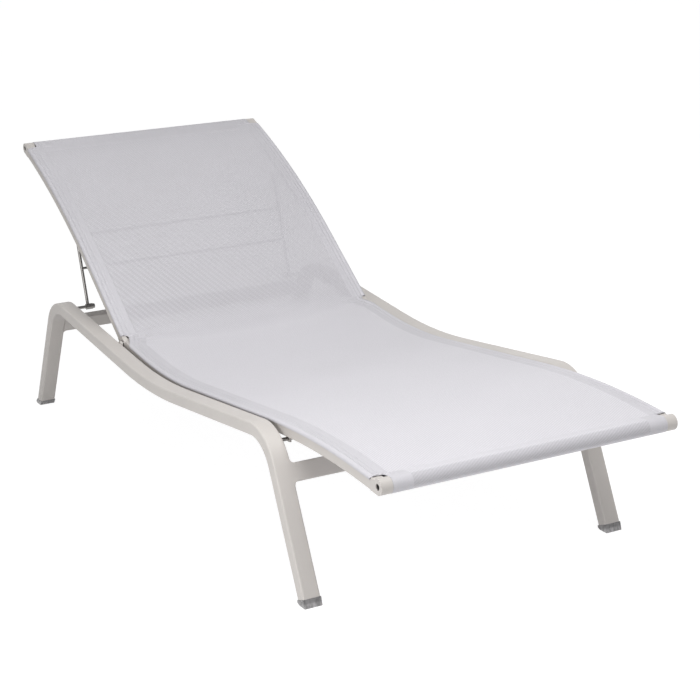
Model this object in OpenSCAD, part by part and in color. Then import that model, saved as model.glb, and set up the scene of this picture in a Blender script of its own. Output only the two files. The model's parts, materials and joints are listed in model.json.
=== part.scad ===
/* [Overall] */
// Width over the outer faces of the two side frames
frame_w = 758; // [740:2:800]
// Height of the backrest hinge axis above the floor
hinge_z = 287; // [284:1:290]
// Rise of the lower backrest above the horizontal, degrees
back_angle = 36.8; // [30:0.2:40]

/* [Side frames] */
// Width of the bent tube, across the lounger
side_w = 38; // [34:1:40]
// Thickness of the bent tube, in the plane of its bends
side_t = 28; // [26:1:30]
// Wall of the bent tube
side_wall = 2; // [1.5:0.25:2.5]
// Outer corner radius of the bent tube section
side_round = 4; // [3.5:0.5:6]
// Rear knee, bend corner behind the hinge
rear_knee_x = 366.9; // [362:0.1:372]
// Rear knee, bend corner above the hinge
rear_knee_rise = 29.2; // [26:0.1:32]
// Centreline radius of the rear knee
rear_knee_r = 95; // [80:5:110]
// Rear foot on the floor, distance behind the rear knee
rear_splay = 175.2; // [165:0.1:185]
// Lowest bend, bend corner ahead of the hinge
side_dip_x = 262.3; // [255:0.1:270]
// Lowest bend, bend corner below the hinge
side_dip_drop = 34.7; // [33:0.1:37]
// Centreline radius of the lowest bend
side_dip_r = 1400; // [1200:50:1600]
// Front knee, bend corner behind the highest bend of the seat
front_knee_back = 128.1; // [124:0.1:134]
// Front knee, bend corner above the hinge
front_knee_rise = 28.7; // [27:0.1:31]
// Centreline radius of the front knee
front_knee_r = 90; // [80:5:100]
// Front foot on the floor, distance ahead of the front knee
front_splay = 140.5; // [130:0.1:150]

/* [Crossbars] */
// Width of a crossbar, measured along the leg
bar_w = 38; // [34:1:40]
// Thickness of a crossbar, square to the leg
bar_t = 20; // [18:1:22]
// Front crossbar, middle on the leg centreline below the hinge
bar_front_drop = 49.7; // [47:0.1:62]
// Rear crossbar, middle on the leg centreline below the hinge
bar_rear_drop = 35.7; // [35:0.1:52]

/* [Glides] */
// Height of a rear glide below the middle of the leg
glide_rear_h = 13; // [11:0.5:16]
// Height of a front glide below the middle of the leg
glide_front_h = 13; // [11:0.5:16]
// Angle of the cut across the end of a front leg, from level
front_cut_tilt = 20; // [0:1:24]
// How far a glide foot reaches past the head side of its leg
glide_toe = 3; // [1:0.5:5]
// Height of the slope under the head side of a glide
glide_slope_h = 3; // [1:0.5:5]
// Length of the slope under the head side of a glide
glide_slope_len = 8; // [4:0.5:12]
// Length of the glide shank pushed up the leg
glide_shank = 26; // [18:1:30]

/* [Sling rails] */
// Gap between a sling rail and its side frame
side_gap = 8; // [7:0.5:12]
// Width of a sling rail
rail_w = 22; // [22:0.5:24]
// Height of a sling rail
rail_h = 25; // [25:0.5:27]
// Corner radius of the sling rail section
rail_round = 2.5; // [2:0.25:3]
// Diameter of the edge groove in a sling rail
groove_d = 7; // [6.5:0.25:7.5]
// Width of the slot that leads into the groove
slot_w = 2.4; // [2.2:0.1:2.8]
// Diameter of the cord sewn into the cloth edge
keder_d = 5.8; // [5:0.1:6]
// Lowest bend of the seat, bend corner ahead of the hinge
seat_dip_x = 262.8; // [255:0.1:270]
// Lowest bend of the seat, bend corner below the hinge
seat_dip_drop = 29.9; // [28:0.1:31]
// Centreline radius of the lowest seat bend
seat_dip_r = 1300; // [1200:50:1400]
// Highest bend of the seat, bend corner ahead of the hinge
seat_crest_x = 994; // [988:1:998]
// Highest bend of the seat, bend corner above the hinge
seat_crest_rise = 41.8; // [41:0.1:44]
// Centreline radius of the highest seat bend
seat_crest_r = 2100; // [1900:50:2300]
// Fall of the seat toward its foot end, degrees
seat_fall = 4.6; // [4:0.1:6]
// Straight rail between the highest bend and the foot corner
foot_straight = 33.3; // [20:0.1:40]
// Foot tube axis above the rail centreline
foot_rise = 3.5; // [3.5:0.1:5]
// Lower backrest, hinge to bend corner
back_lower = 481; // [474:1:488]
// How much flatter the upper backrest lies, degrees
back_flatten = 14.5; // [13:0.5:15]
// Centreline radius of the backrest bend, which ends at the head corner
back_bend_r = 1840; // [1750:10:1900]

/* [Ends of the sling] */
// Diameter of the foot corner barrels
foot_barrel_d = 32; // [31:0.5:33]
// Diameter of the head corner barrels
head_barrel_d = 26; // [25:0.5:27]
// Length of a corner barrel, from the outer rail face
barrel_len = 24; // [24:0.5:28]
// Length of a corner casting, tube axis to rail end
corner_len = 26; // [24:1:32]
// Diameter of the foot tube
foot_tube_d = 30; // [29:0.5:30.5]
// Diameter of the head tube
head_tube_d = 25; // [23:0.5:25]
// Diameter of the recess for a corner bolt
recess_d = 13.2; // [12.8:0.1:14]

/* [Cloth] */
// Thickness of the sling cloth with its hems
cloth_t = 1.6; // [1.2:0.1:2]
// Distance from the hinge axis to the first cloth, each way
cloth_hinge_gap = 14; // [13:1:20]

/* [Hinge] */
// Diameter of the hinge pins
pin_d = 10; // [8:0.5:11]
// Diameter of the cross tube between the hinges
hinge_tube_d = 22; // [21:0.5:23]
// Diameter of the bosses on the side frames
boss_d = 16; // [15:0.5:18]
// Length of a knuckle, hinge axis to rail end
knuckle_len = 28; // [26:1:32]

/* [Prop] */
// Prop pivot ahead of the rear knee corner
prop_ahead = 17.5; // [15:0.1:20]
// Prop pivot below the rear knee corner
prop_below = 18.3; // [16:0.1:21]
// Lean of the prop toward the head, degrees
prop_lean = 15.2; // [12:0.2:18]
// Prop leg centreline inside the inner face of its sling rail
prop_inset = 22; // [18:1:26]
// Diameter of the prop legs and their pegs
prop_d = 8; // [7:0.25:8.5]
// Diameter of the prop braces
brace_d = 6.5; // [6:0.25:7]
// Lower brace, distance from the pivot along the leg
brace_low = 98.7; // [85:1:110]
// Upper brace, distance from the pivot along the leg
brace_high = 183.9; // [170:1:195]
// Diameter of the prop sleeves
sleeve_d = 15; // [14:0.5:16]
// Length of a prop sleeve
sleeve_len = 18; // [16:1:24]
// Diameter of the stub axles
stub_d = 8; // [7:0.5:9]
// Distance between two rack notches, along the rail
rack_pitch = 42; // [36:1:46]

/* [Tie rod] */
// Tie rod behind the front knee corner, measured at the seat rail
tie_back = 22.9; // [18:0.1:26]
// Tie rod axis below the seat rail centreline
tie_drop = 25.6; // [22:0.2:28]
// Diameter of the tie rod
tie_d = 8; // [7:0.5:9]

/* [Hidden] */

$fn = 96;
unit = side_wall / 2;
slack = unit * 0.3;
running = unit * 0.05;
// Straight lengths run this far into a bend, whose section is a hair fuller
lap = unit;
swell = unit * 0.04;
$swell = 0;

paint = [0.78, 0.76, 0.73];
cloth_white = [0.87, 0.87, 0.90];
steel = [0.55, 0.54, 0.52];
clear_grey = [0.62, 0.61, 0.62];

side_in = frame_w / 2 - side_w;
bar_y = side_in - running;
sling_w = 2 * (side_in - side_gap);
rail_y = sling_w / 2 - rail_w / 2;
rail_in = sling_w / 2 - rail_w;
hinge = [0, hinge_z];

// Bend corners of the four kinds of rail, x along the lounger from the hinge and z up
rear_knee = hinge + [-rear_knee_x, rear_knee_rise];
side_dip = hinge + [side_dip_x, -side_dip_drop];
front_knee = hinge + [seat_crest_x - front_knee_back, front_knee_rise];
side_pts = [[rear_knee[0] - rear_splay, 0], rear_knee, side_dip, front_knee,
    [front_knee[0] + front_splay, 0]];
side_radii = [rear_knee_r, side_dip_r, front_knee_r];
seat_dip = hinge + [seat_dip_x, -seat_dip_drop];
seat_crest = hinge + [seat_crest_x, seat_crest_rise];
fall_dir = [cos(seat_fall), -sin(seat_fall)];
crest_len = fillet_len(seat_dip, seat_crest, seat_crest + fall_dir, seat_crest_r);
seat_tip = seat_crest + (crest_len + foot_straight + corner_len) * fall_dir;
seat_pts = [hinge, seat_dip, seat_crest, seat_tip];
seat_radii = [seat_dip_r, seat_crest_r];
foot = seat_tip + [0, foot_rise];
back_bend = hinge + back_lower * [-cos(back_angle), sin(back_angle)];
upper_angle = back_angle - back_flatten;
upper_dir = [-cos(upper_angle), sin(upper_angle)];
upper_len = fillet_len(hinge, back_bend, back_bend + upper_dir, back_bend_r);
head = back_bend + (upper_len + lap + corner_len) * upper_dir;
back_pts = [head, back_bend, hinge];
back_radii = [back_bend_r];

// Cloth level above the rail centreline, and the rings it makes round the end tubes
cloth_n = rail_h / 2 + slack;
foot_ring_r = foot_tube_d / 2 + slack;
head_ring_r = cloth_n;
x_shift = -(head[0] - head_ring_r - cloth_t + foot[0] + foot_ring_r + cloth_t) / 2;

// Groove for the cloth edge, from the middle of the rail section
groove_y = rail_w / 2 - groove_d / 2 - unit * 2;
groove_n = rail_h / 2 - groove_d / 2 - unit * 2;
chamber_w = rail_w - unit * 4;
chamber_low = -rail_h / 2 + unit * 2;
chamber_top = groove_n - groove_d / 2 - unit * 2;
chamber_h = chamber_top - chamber_low;

// Backrest bend centre, peg position under the rack and the notch angles
back_centre = fillet_centre(head, back_bend, hinge, back_bend_r);
prop_pivot = rear_knee + [prop_ahead, -prop_below];
prop_dir = [-sin(prop_lean), cos(prop_lean)];
peg_n = -rail_h / 2 - prop_d / 2 - slack;
prop_r = reach(prop_pivot, prop_dir, back_centre, back_bend_r + peg_n);
peg = prop_pivot + prop_r * prop_dir;
peg_angle = heading(peg - back_centre);
pitch_angle = rack_pitch / back_bend_r * 180 / PI;
notches = 5;
rack_in = rail_in - unit * 6;
prop_y = rail_in - prop_inset;
sleeve_in = prop_y + unit * 6 - sleeve_len;
spigot_len = unit * 20;
plug_len = unit * 14;
recess_deep = unit * 7;
bolt_d = recess_d * 0.6;
rivet_d = unit * 4;
rivet_n = -unit * 4;
rivet_end = rail_in + unit * 2 + running;

// Tie rod hangs under the crest bend of the seat rail
crest_centre = fillet_centre(seat_dip, seat_crest, seat_tip, seat_crest_r);
tie_tilt = asin((front_knee[0] - tie_back - crest_centre[0]) / seat_crest_r);
tie_rail = crest_centre + seat_crest_r * [sin(tie_tilt), cos(tie_tilt)];
tie = tie_rail - tie_drop * [sin(tie_tilt), cos(tie_tilt)];

function heading(v) = atan2(v[1], v[0]);
function dir(a, b) = (b - a) / norm(b - a);
function turn(a, b, c) = (heading(c - b) - heading(b - a) + 540) % 360 - 180;
function fillet_len(a, b, c, r) = r * tan(abs(turn(a, b, c)) / 2);
function left_of(d) = [-d[1], d[0]];
function fillet_centre(a, b, c, r) = b - dir(a, b) * fillet_len(a, b, c, r)
    + left_of(dir(a, b)) * sign(turn(a, b, c)) * r;
// Distance from p along d to the near side of the circle round c
function reach(p, d, c, r) = let(q = p - c, b = q * d) -b + sqrt(b * b - q * q + r * r);
// Where the line from q touches the circle round c, on its upper side
function touch(q, c, r) = let(h = heading(q - c) - acos(r / norm(q - c)))
    c + r * [cos(h), sin(h)];
function on_line(a, b, z) = a + (b - a) * (z - a[1]) / (b[1] - a[1]);

module place() {
    translate([x_shift, 0, 0]) children();
}

module near_side() {
    place() mirror([0, 1, 0]) children();
}

module both_sides() {
    place() {
        children();
        mirror([0, 1, 0]) children();
    }
}

// A straight length of a section, x of the section across and y square to the path
module run(a, b) {
    translate([a[0], 0, a[1]]) rotate([0, -heading(b - a), 0]) rotate([90, 0, 90])
        linear_extrude(norm(b - a)) children();
}

module arc(centre, r, from, sweep) {
    translate([centre[0], 0, centre[1]]) rotate([90, 0, 0]) rotate([0, 0, from])
        rotate_extrude(angle = sweep, $fn = ceil(3600 / sweep)) translate([r, 0])
        children();
}

module bend(a, b, c, r) {
    $swell = swell;
    t = turn(a, b, c);
    centre = fillet_centre(a, b, c, r);
    if (t > 0) {
        arc(centre, r, heading(b - a) - 90, t) mirror([1, 0]) rotate(-90) children();
    } else {
        arc(centre, r, heading(c - b) + 90, -t) rotate(-90) children();
    }
}

module bent(pts, radii, trim_a, trim_b) {
    last = len(pts) - 1;
    for (i = [0 : last - 1]) {
        a = pts[i];
        b = pts[i + 1];
        cut_a = i == 0 ? trim_a : fillet_len(pts[i - 1], a, b, radii[i - 1]) - lap;
        cut_b = i == last - 1 ? trim_b : fillet_len(a, b, pts[i + 2], radii[i]) - lap;
        run(a + dir(a, b) * cut_a, b - dir(a, b) * cut_b) children();
    }
    for (i = [1 : last - 1]) {
        bend(pts[i - 1], pts[i], pts[i + 1], radii[i - 1]) children();
    }
}

module rounded(w, h, r) {
    square([w - 2 * r, h], center = true);
    square([w, h - 2 * r], center = true);
    for (sx = [-1, 1], sy = [-1, 1]) {
        translate([sx * (w / 2 - r), sy * (h / 2 - r)]) circle(r = r);
    }
}

module box_section(w, h, r, wall) {
    e = $swell;
    difference() {
        rounded(w + 2 * e, h + 2 * e, r + e);
        rounded(w - 2 * wall - 2 * e, h - 2 * wall - 2 * e, r - wall);
    }
}

// A rod or disc across the lounger from y0 to y1 at the point p
module rod(p, d, y0, y1) {
    translate([p[0], y1, p[1]]) rotate([90, 0, 0]) cylinder(d = d, h = y1 - y0);
}

// A flat shape drawn in x and z, thick from y0 to y1
module slab(y0, y1) {
    translate([0, y1, 0]) rotate([90, 0, 0]) linear_extrude(y1 - y0) children();
}

// Local frame at a point of the side view, x along the heading and z square to it
module at(p, angle) {
    translate([p[0], 0, p[1]]) rotate([0, -angle, 0]) children();
}

// What the cut across the end of a leg takes away
module below_cut(foot, top, h, tilt) {
    low = unit * 40;
    at(on_line(foot, top, h), tilt) translate([-side_t * 2, side_in - side_w, -low])
        cube([side_t * 4, side_w * 3, low]);
}

// Side frames
module side_frame() {
    difference() {
        translate([0, frame_w / 2 - side_w / 2, 0]) bent(side_pts, side_radii, 0, 0)
            box_section(side_w, side_t, side_round, side_wall);
        below_cut(side_pts[0], side_pts[1], glide_rear_h, 0);
        below_cut(side_pts[4], side_pts[3], glide_front_h, front_cut_tilt);
    }
}

module side_frame_near() {
    color(paint) near_side() side_frame();
}

module side_frame_far() {
    color(paint) place() side_frame();
}

// Crossbars between the side frames, their foot-side faces flush with the legs
module crossbar(foot, top, z) {
    at(on_line(foot, top, z), heading(top - foot))
        translate([0, bar_y, -(side_t - bar_t) / 2]) rotate([90, 0, 0])
        linear_extrude(2 * bar_y) box_section(bar_w, bar_t, unit * 3, unit * 2);
}

module crossbar_front() {
    color(paint) place() crossbar(side_pts[4], front_knee, hinge_z - bar_front_drop);
}

module crossbar_rear() {
    color(paint) place() crossbar(side_pts[0], rear_knee, hinge_z - bar_rear_drop);
}

// Tie rod under the seat rails and the drilled tabs it runs through
module tie_rod() {
    color(steel) place() rod(tie, tie_d, -bar_y, bar_y);
}

module tie_tabs() {
    tab_w = tie_d * 2;
    tab_low = tie_d * 0.75;
    color(paint) both_sides() difference() {
        at(tie, -tie_tilt) translate([-tab_w / 2, rail_in + unit, -tab_low])
            cube([tab_w, unit * 4, tab_low + tie_drop - rail_h / 2 - 2 * running]);
        rod(tie, tie_d + 2 * running, rail_in, side_in);
    }
}

// Hinge: a cross tube, stepped pins that carry both knuckles, bosses and washers
module hinge_tube() {
    wall = unit * 2;
    color(steel) place() difference() {
        rod(hinge, hinge_tube_d, -rail_in, rail_in);
        rod(hinge, hinge_tube_d - 2 * wall, -sling_w / 2, sling_w / 2);
    }
}

module hinge_pins() {
    plug = unit * 20;
    plug_d = hinge_tube_d - unit * 4 - 2 * running;
    color(steel) both_sides() {
        rod(hinge, plug_d, rail_in - plug, rail_in);
        rod(hinge, pin_d, rail_in - plug, side_in);
    }
}

module hinge_bosses() {
    color(paint) both_sides() difference() {
        rod(hinge, boss_d, sling_w / 2 + unit * 2.5, side_in);
        rod(hinge, pin_d + 2 * running, sling_w / 2, side_in + unit);
    }
}

module hinge_washers() {
    color(steel) both_sides() difference() {
        rod(hinge, boss_d + unit * 2, sling_w / 2 + unit * 0.5, sling_w / 2 + unit * 2.5);
        rod(hinge, pin_d + 2 * running, sling_w / 2, side_in);
    }
}

// Glides: a wedge under the cut leg, sloped below its head side, and a shank up the tube
module glide(foot, top, h, tilt) {
    cut = on_line(foot, top, h);
    along = [cos(tilt), sin(tilt)];
    out = side_t / 2 + unit * 0.5;
    reach = along * out / abs(along * left_of(dir(foot, top)));
    half = side_t / 2 / sin(heading(top - foot)) + unit * 0.5;
    heel = foot[0] - half - glide_toe;
    slab(side_in - unit * 0.5, frame_w / 2 + unit * 0.5) polygon([
        cut - reach, cut + reach, [foot[0] + half - glide_toe, 0],
        [heel + glide_slope_len, 0], [heel, glide_slope_h]]);
    intersection() {
        translate([0, frame_w / 2 - side_w / 2, 0])
            run(foot, cut + glide_shank * dir(foot, top))
            rounded(side_w - 2 * side_wall - 2 * slack, side_t - 2 * side_wall - 2 * slack,
                side_round - side_wall);
        at(cut, tilt) translate([-side_t * 2, side_in, -unit])
            cube([side_t * 4, side_w, glide_shank * 2]);
    }
}

module glide_front_near() {
    color(clear_grey) near_side() glide(side_pts[4], side_pts[3], glide_front_h, front_cut_tilt);
}

module glide_front_far() {
    color(clear_grey) place() glide(side_pts[4], side_pts[3], glide_front_h, front_cut_tilt);
}

module glide_rear_near() {
    color(clear_grey) near_side() glide(side_pts[0], side_pts[1], glide_rear_h, 0);
}

module glide_rear_far() {
    color(clear_grey) place() glide(side_pts[0], side_pts[1], glide_rear_h, 0);
}

// Sling rail section: outer shape, lower chamber, edge groove and its slot
module rail_section() {
    e = $swell;
    slot = slot_w - 2 * e;
    translate([rail_y, 0]) difference() {
        rounded(rail_w + 2 * e, rail_h + 2 * e, rail_round + e);
        translate([e - chamber_w / 2, chamber_low + e])
            square([chamber_w - 2 * e, chamber_h - 2 * e]);
        translate([groove_y, groove_n]) circle(d = groove_d - 2 * e);
        translate([groove_y - slot / 2, groove_n]) square([slot, rail_h]);
    }
}

module keder_section() {
    translate([rail_y + groove_y, groove_n]) circle(d = keder_d + 2 * $swell);
}

// The cloth seen end on: a flat web, and in the rails a tongue down each slot
module cloth_web(e) {
    half = rail_y + groove_y + unit * 1.5 + e;
    translate([-half, cloth_n - e]) square([2 * half, cloth_t + 2 * e]);
}

module cloth_section() {
    e = $swell;
    edge = rail_y + groove_y;
    tongue = unit * 1.2 + 2 * e;
    tongue_low = groove_n + keder_d / 2 + slack - e;
    cloth_web(e);
    for (s = [-1, 1]) {
        translate([s * edge - tongue / 2, tongue_low])
            square([tongue, cloth_n - tongue_low + cloth_t / 2]);
    }
}

module spigot_section() {
    translate([rail_y - chamber_w / 2 + slack, chamber_low + slack])
        square([chamber_w - 2 * slack, chamber_h - 2 * slack]);
}

// A knuckle: half-width eye on the pin, full-width shoulder, spigot in the rail
module knuckle_shape(eye_y, half) {
    shoulder = rail_h / 2 + unit * 3.5;
    rotate([90, 0, 0]) translate([0, 0, -eye_y - half]) cylinder(d = rail_h, h = half);
    translate([0, eye_y, -rail_h / 2]) cube([shoulder, half, rail_h]);
    translate([shoulder, rail_in, -rail_h / 2])
        cube([knuckle_len - shoulder, rail_w, rail_h]);
    translate([knuckle_len, 0, 0]) rotate([90, 0, 90]) linear_extrude(spigot_len)
        spigot_section();
}

module seat_knuckle() {
    difference() {
        at(hinge, heading(seat_dip - hinge))
            knuckle_shape(rail_in, rail_w / 2 - slack);
        rod(hinge, pin_d + 2 * running, rail_in - unit, sling_w / 2 + unit);
    }
}

module back_knuckle() {
    difference() {
        at(hinge, heading(hinge - back_bend)) mirror([1, 0, 0])
            knuckle_shape(rail_y + slack, rail_w / 2 - slack);
        rod(hinge, pin_d + 2 * running, rail_in - unit, sling_w / 2 + unit);
    }
}

module seat_knuckle_near() {
    color(paint) near_side() seat_knuckle();
}

module seat_knuckle_far() {
    color(paint) place() seat_knuckle();
}

module back_knuckle_near() {
    color(paint) near_side() back_knuckle();
}

module back_knuckle_far() {
    color(paint) place() back_knuckle();
}

module seat_rail() {
    bent(seat_pts, seat_radii, knuckle_len, corner_len) rail_section();
}

module seat_rail_near() {
    color(paint) near_side() seat_rail();
}

module seat_rail_far() {
    color(paint) place() seat_rail();
}

module back_rail() {
    difference() {
        bent(back_pts, back_radii, corner_len, knuckle_len) rail_section();
        rivets(rivet_d + 2 * running);
    }
}

module back_rail_near() {
    color(paint) near_side() back_rail();
}

module back_rail_far() {
    color(paint) place() back_rail();
}

module seat_keder() {
    bent(seat_pts, seat_radii, knuckle_len, corner_len) keder_section();
}

module seat_keder_near() {
    color(cloth_white) near_side() seat_keder();
}

module seat_keder_far() {
    color(cloth_white) place() seat_keder();
}

module back_keder() {
    bent(back_pts, back_radii, corner_len, knuckle_len) keder_section();
}

module back_keder_near() {
    color(cloth_white) near_side() back_keder();
}

module back_keder_far() {
    color(cloth_white) place() back_keder();
}

// Corner castings: a barrel in line with the end tube, a neck and a spigot
module corner_neck() {
    translate([-corner_len, rail_in, -rail_h / 2])
        cube([corner_len, rail_w, rail_h]);
    translate([-corner_len - spigot_len, 0, 0]) rotate([90, 0, 90])
        linear_extrude(spigot_len) spigot_section();
}

module corner_bores(axis) {
    rod(axis, recess_d, sling_w / 2 - recess_deep, sling_w / 2 + unit);
    rod(axis, bolt_d + 2 * running, sling_w / 2 - barrel_len - unit, sling_w / 2);
}

module seat_corner() {
    difference() {
        union() {
            at(seat_tip, -seat_fall) corner_neck();
            rod(foot, foot_barrel_d, sling_w / 2 - barrel_len, sling_w / 2);
        }
        corner_bores(foot);
    }
}

module back_corner() {
    difference() {
        union() {
            at(head, heading(back_bend - head)) mirror([1, 0, 0]) corner_neck();
            rod(head, head_barrel_d, sling_w / 2 - barrel_len, sling_w / 2);
        }
        corner_bores(head);
    }
}

module seat_corner_near() {
    color(paint) near_side() seat_corner();
}

module seat_corner_far() {
    color(paint) place() seat_corner();
}

module back_corner_near() {
    color(paint) near_side() back_corner();
}

module back_corner_far() {
    color(paint) place() back_corner();
}

// End tubes with solid drilled plugs, and the socket bolts that hold them
module end_tube(axis, d) {
    half = sling_w / 2 - barrel_len;
    difference() {
        rod(axis, d, -half, half);
        rod(axis, d - unit * 4, -half + plug_len, half - plug_len);
        rod(axis, bolt_d + 2 * running, -sling_w / 2, sling_w / 2);
    }
}

module foot_tube() {
    color(paint) place() end_tube(foot, foot_tube_d);
}

module head_tube() {
    color(paint) place() end_tube(head, head_tube_d);
}

module end_bolt(axis) {
    seat_y = sling_w / 2 - recess_deep;
    head_top = seat_y + unit * 5;
    difference() {
        union() {
            rod(axis, bolt_d, sling_w / 2 - barrel_len - plug_len, seat_y);
            rod(axis, recess_d - unit * 0.8, seat_y, head_top);
        }
        translate([axis[0], head_top + unit, axis[1]]) rotate([90, 0, 0])
            cylinder(d = recess_d / 2, h = unit * 4, $fn = 6);
    }
}

module foot_bolts() {
    color(steel) both_sides() end_bolt(foot);
}

module head_bolts() {
    color(steel) both_sides() end_bolt(head);
}

// Cloth: webs with tongues, and a loop round each end tube between the barrels
module loop(axis, r) {
    half = sling_w / 2 - barrel_len - slack;
    difference() {
        rod(axis, 2 * (r + cloth_t), -half, half);
        rod(axis, 2 * r, -sling_w / 2, sling_w / 2);
    }
}

// The cloth over a knuckle, from the hinge gap to the rail
module flap(way) {
    a = hinge + cloth_hinge_gap * way;
    b = hinge + (knuckle_len + lap) * way;
    if (way[0] > 0) {
        run(a, b) cloth_web(-swell);
    } else {
        run(b, a) cloth_web(-swell);
    }
}

module seat_cloth() {
    up = left_of(fall_dir);
    low = seat_tip - (corner_len + lap) * fall_dir + (cloth_n + slack) * up;
    high = low + (cloth_t - 2 * slack) * up;
    half = sling_w / 2 - barrel_len - slack;
    color(cloth_white) place() {
        bent(seat_pts, seat_radii, knuckle_len, corner_len) cloth_section();
        flap(dir(hinge, seat_dip));
        slab(slack - half, half - slack) polygon([low,
            touch(low, foot, foot_ring_r + slack),
            touch(high, foot, foot_ring_r + cloth_t - slack), high]);
        loop(foot, foot_ring_r);
    }
}

module back_cloth() {
    half = sling_w / 2 - barrel_len - slack;
    color(cloth_white) place() {
        bent(back_pts, back_radii, corner_len, knuckle_len) cloth_section();
        flap(dir(hinge, back_bend));
        run(head, head + (corner_len + lap) * dir(head, back_bend))
            translate([slack - half, cloth_n + slack])
            square([2 * (half - slack), cloth_t - 2 * slack]);
        loop(head, head_ring_r);
    }
}

// Racks on the inner faces of the backrest rails, with their rivets
module rack() {
    notch_w = prop_d + unit * 0.6;
    notch_deep = unit * 5;
    low = back_bend_r - rail_h / 2;
    half = pitch_angle * (notches / 2 + 0.2);
    difference() {
        arc(back_centre, back_bend_r, peg_angle - half, half * 2)
            rotate(-90) translate([rack_in, -rail_h / 2])
            square([rail_in - running - rack_in, rail_h - unit * 4]);
        for (i = [(1 - notches) / 2 : (notches - 1) / 2]) {
            at(back_centre, peg_angle + i * pitch_angle) {
                translate([low - unit, rack_in - unit, -notch_w / 2])
                    cube([notch_deep + unit, rail_w, notch_w]);
                translate([low + notch_deep, rail_y, 0]) rotate([90, 0, 0])
                    cylinder(d = notch_w, h = rail_w);
            }
        }
        rivets(rivet_d + 2 * running);
    }
}

module rivets(d) {
    for (i = [-1.5, 1.5]) {
        phi = peg_angle + i * pitch_angle;
        rod(back_centre + (back_bend_r + rivet_n) * [cos(phi), sin(phi)], d,
            rack_in, rivet_end);
    }
}

module rack_near() {
    color(paint) near_side() rack();
}

module rack_far() {
    color(paint) place() rack();
}

module rack_rivets() {
    color(steel) both_sides() {
        rivets(rivet_d);
        for (i = [-1.5, 1.5]) {
            phi = peg_angle + i * pitch_angle;
            at_rivet = back_centre + (back_bend_r + rivet_n) * [cos(phi), sin(phi)];
            rod(at_rivet, rivet_d * 2, rack_in - unit * 1.5, rack_in);
            rod(at_rivet, rivet_d * 1.5, rivet_end, rivet_end + unit * 1.5);
        }
    }
}

// Prop: coped legs with pegs, two braces, sleeves on the stub axles
module prop_leg() {
    difference() {
        union() {
            at(prop_pivot, heading(prop_dir)) translate([0, prop_y, 0])
                rotate([0, 90, 0]) cylinder(d = prop_d, h = prop_r);
            translate([peg[0], prop_y, peg[1]]) sphere(d = prop_d + 4 * swell);
            rod(peg, prop_d, prop_y, rail_in + unit * 4);
        }
        rod(prop_pivot, sleeve_d, 0, side_in);
    }
}

module prop_leg_near() {
    color(steel) near_side() prop_leg();
}

module prop_leg_far() {
    color(steel) place() prop_leg();
}

module prop_brace(along) {
    difference() {
        rod(prop_pivot + along * prop_dir, brace_d, -prop_y, prop_y);
        for (s = [-1, 1]) {
            at(prop_pivot, heading(prop_dir)) translate([0, s * prop_y, 0])
                rotate([0, 90, 0]) cylinder(d = prop_d, h = prop_r);
        }
    }
}

module prop_brace_low() {
    color(steel) place() prop_brace(brace_low);
}

module prop_brace_high() {
    color(steel) place() prop_brace(brace_high);
}

module prop_sleeves() {
    color(steel) both_sides() difference() {
        rod(prop_pivot, sleeve_d, sleeve_in, sleeve_in + sleeve_len);
        rod(prop_pivot, stub_d + 2 * running, 0, side_in);
    }
}

module prop_stubs() {
    color(steel) both_sides() rod(prop_pivot, stub_d, sleeve_in - unit * 3, bar_y);
}

module stub_caps() {
    color(steel) both_sides() difference() {
        rod(prop_pivot, stub_d * 1.5, sleeve_in - unit * 5, sleeve_in - slack);
        rod(prop_pivot, stub_d, sleeve_in - unit * 3, side_in);
    }
}

side_frame_near();
side_frame_far();
crossbar_front();
crossbar_rear();
tie_rod();
tie_tabs();
hinge_tube();
hinge_pins();
hinge_bosses();
hinge_washers();
glide_front_near();
glide_front_far();
glide_rear_near();
glide_rear_far();
seat_rail_near();
seat_rail_far();
seat_knuckle_near();
seat_knuckle_far();
seat_corner_near();
seat_corner_far();
foot_tube();
foot_bolts();
seat_keder_near();
seat_keder_far();
prop_stubs();
stub_caps();
seat_cloth();
back_rail_near();
back_rail_far();
back_knuckle_near();
back_knuckle_far();
back_corner_near();
back_corner_far();
head_tube();
head_bolts();
back_keder_near();
back_keder_far();
rack_near();
rack_far();
rack_rivets();
back_cloth();
prop_leg_near();
prop_leg_far();
prop_brace_low();
prop_brace_high();
prop_sleeves();
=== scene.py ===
"""Sun lounger: the sewn sling, its stitches, weld fillets, finishes for the frame and a studio."""

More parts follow.
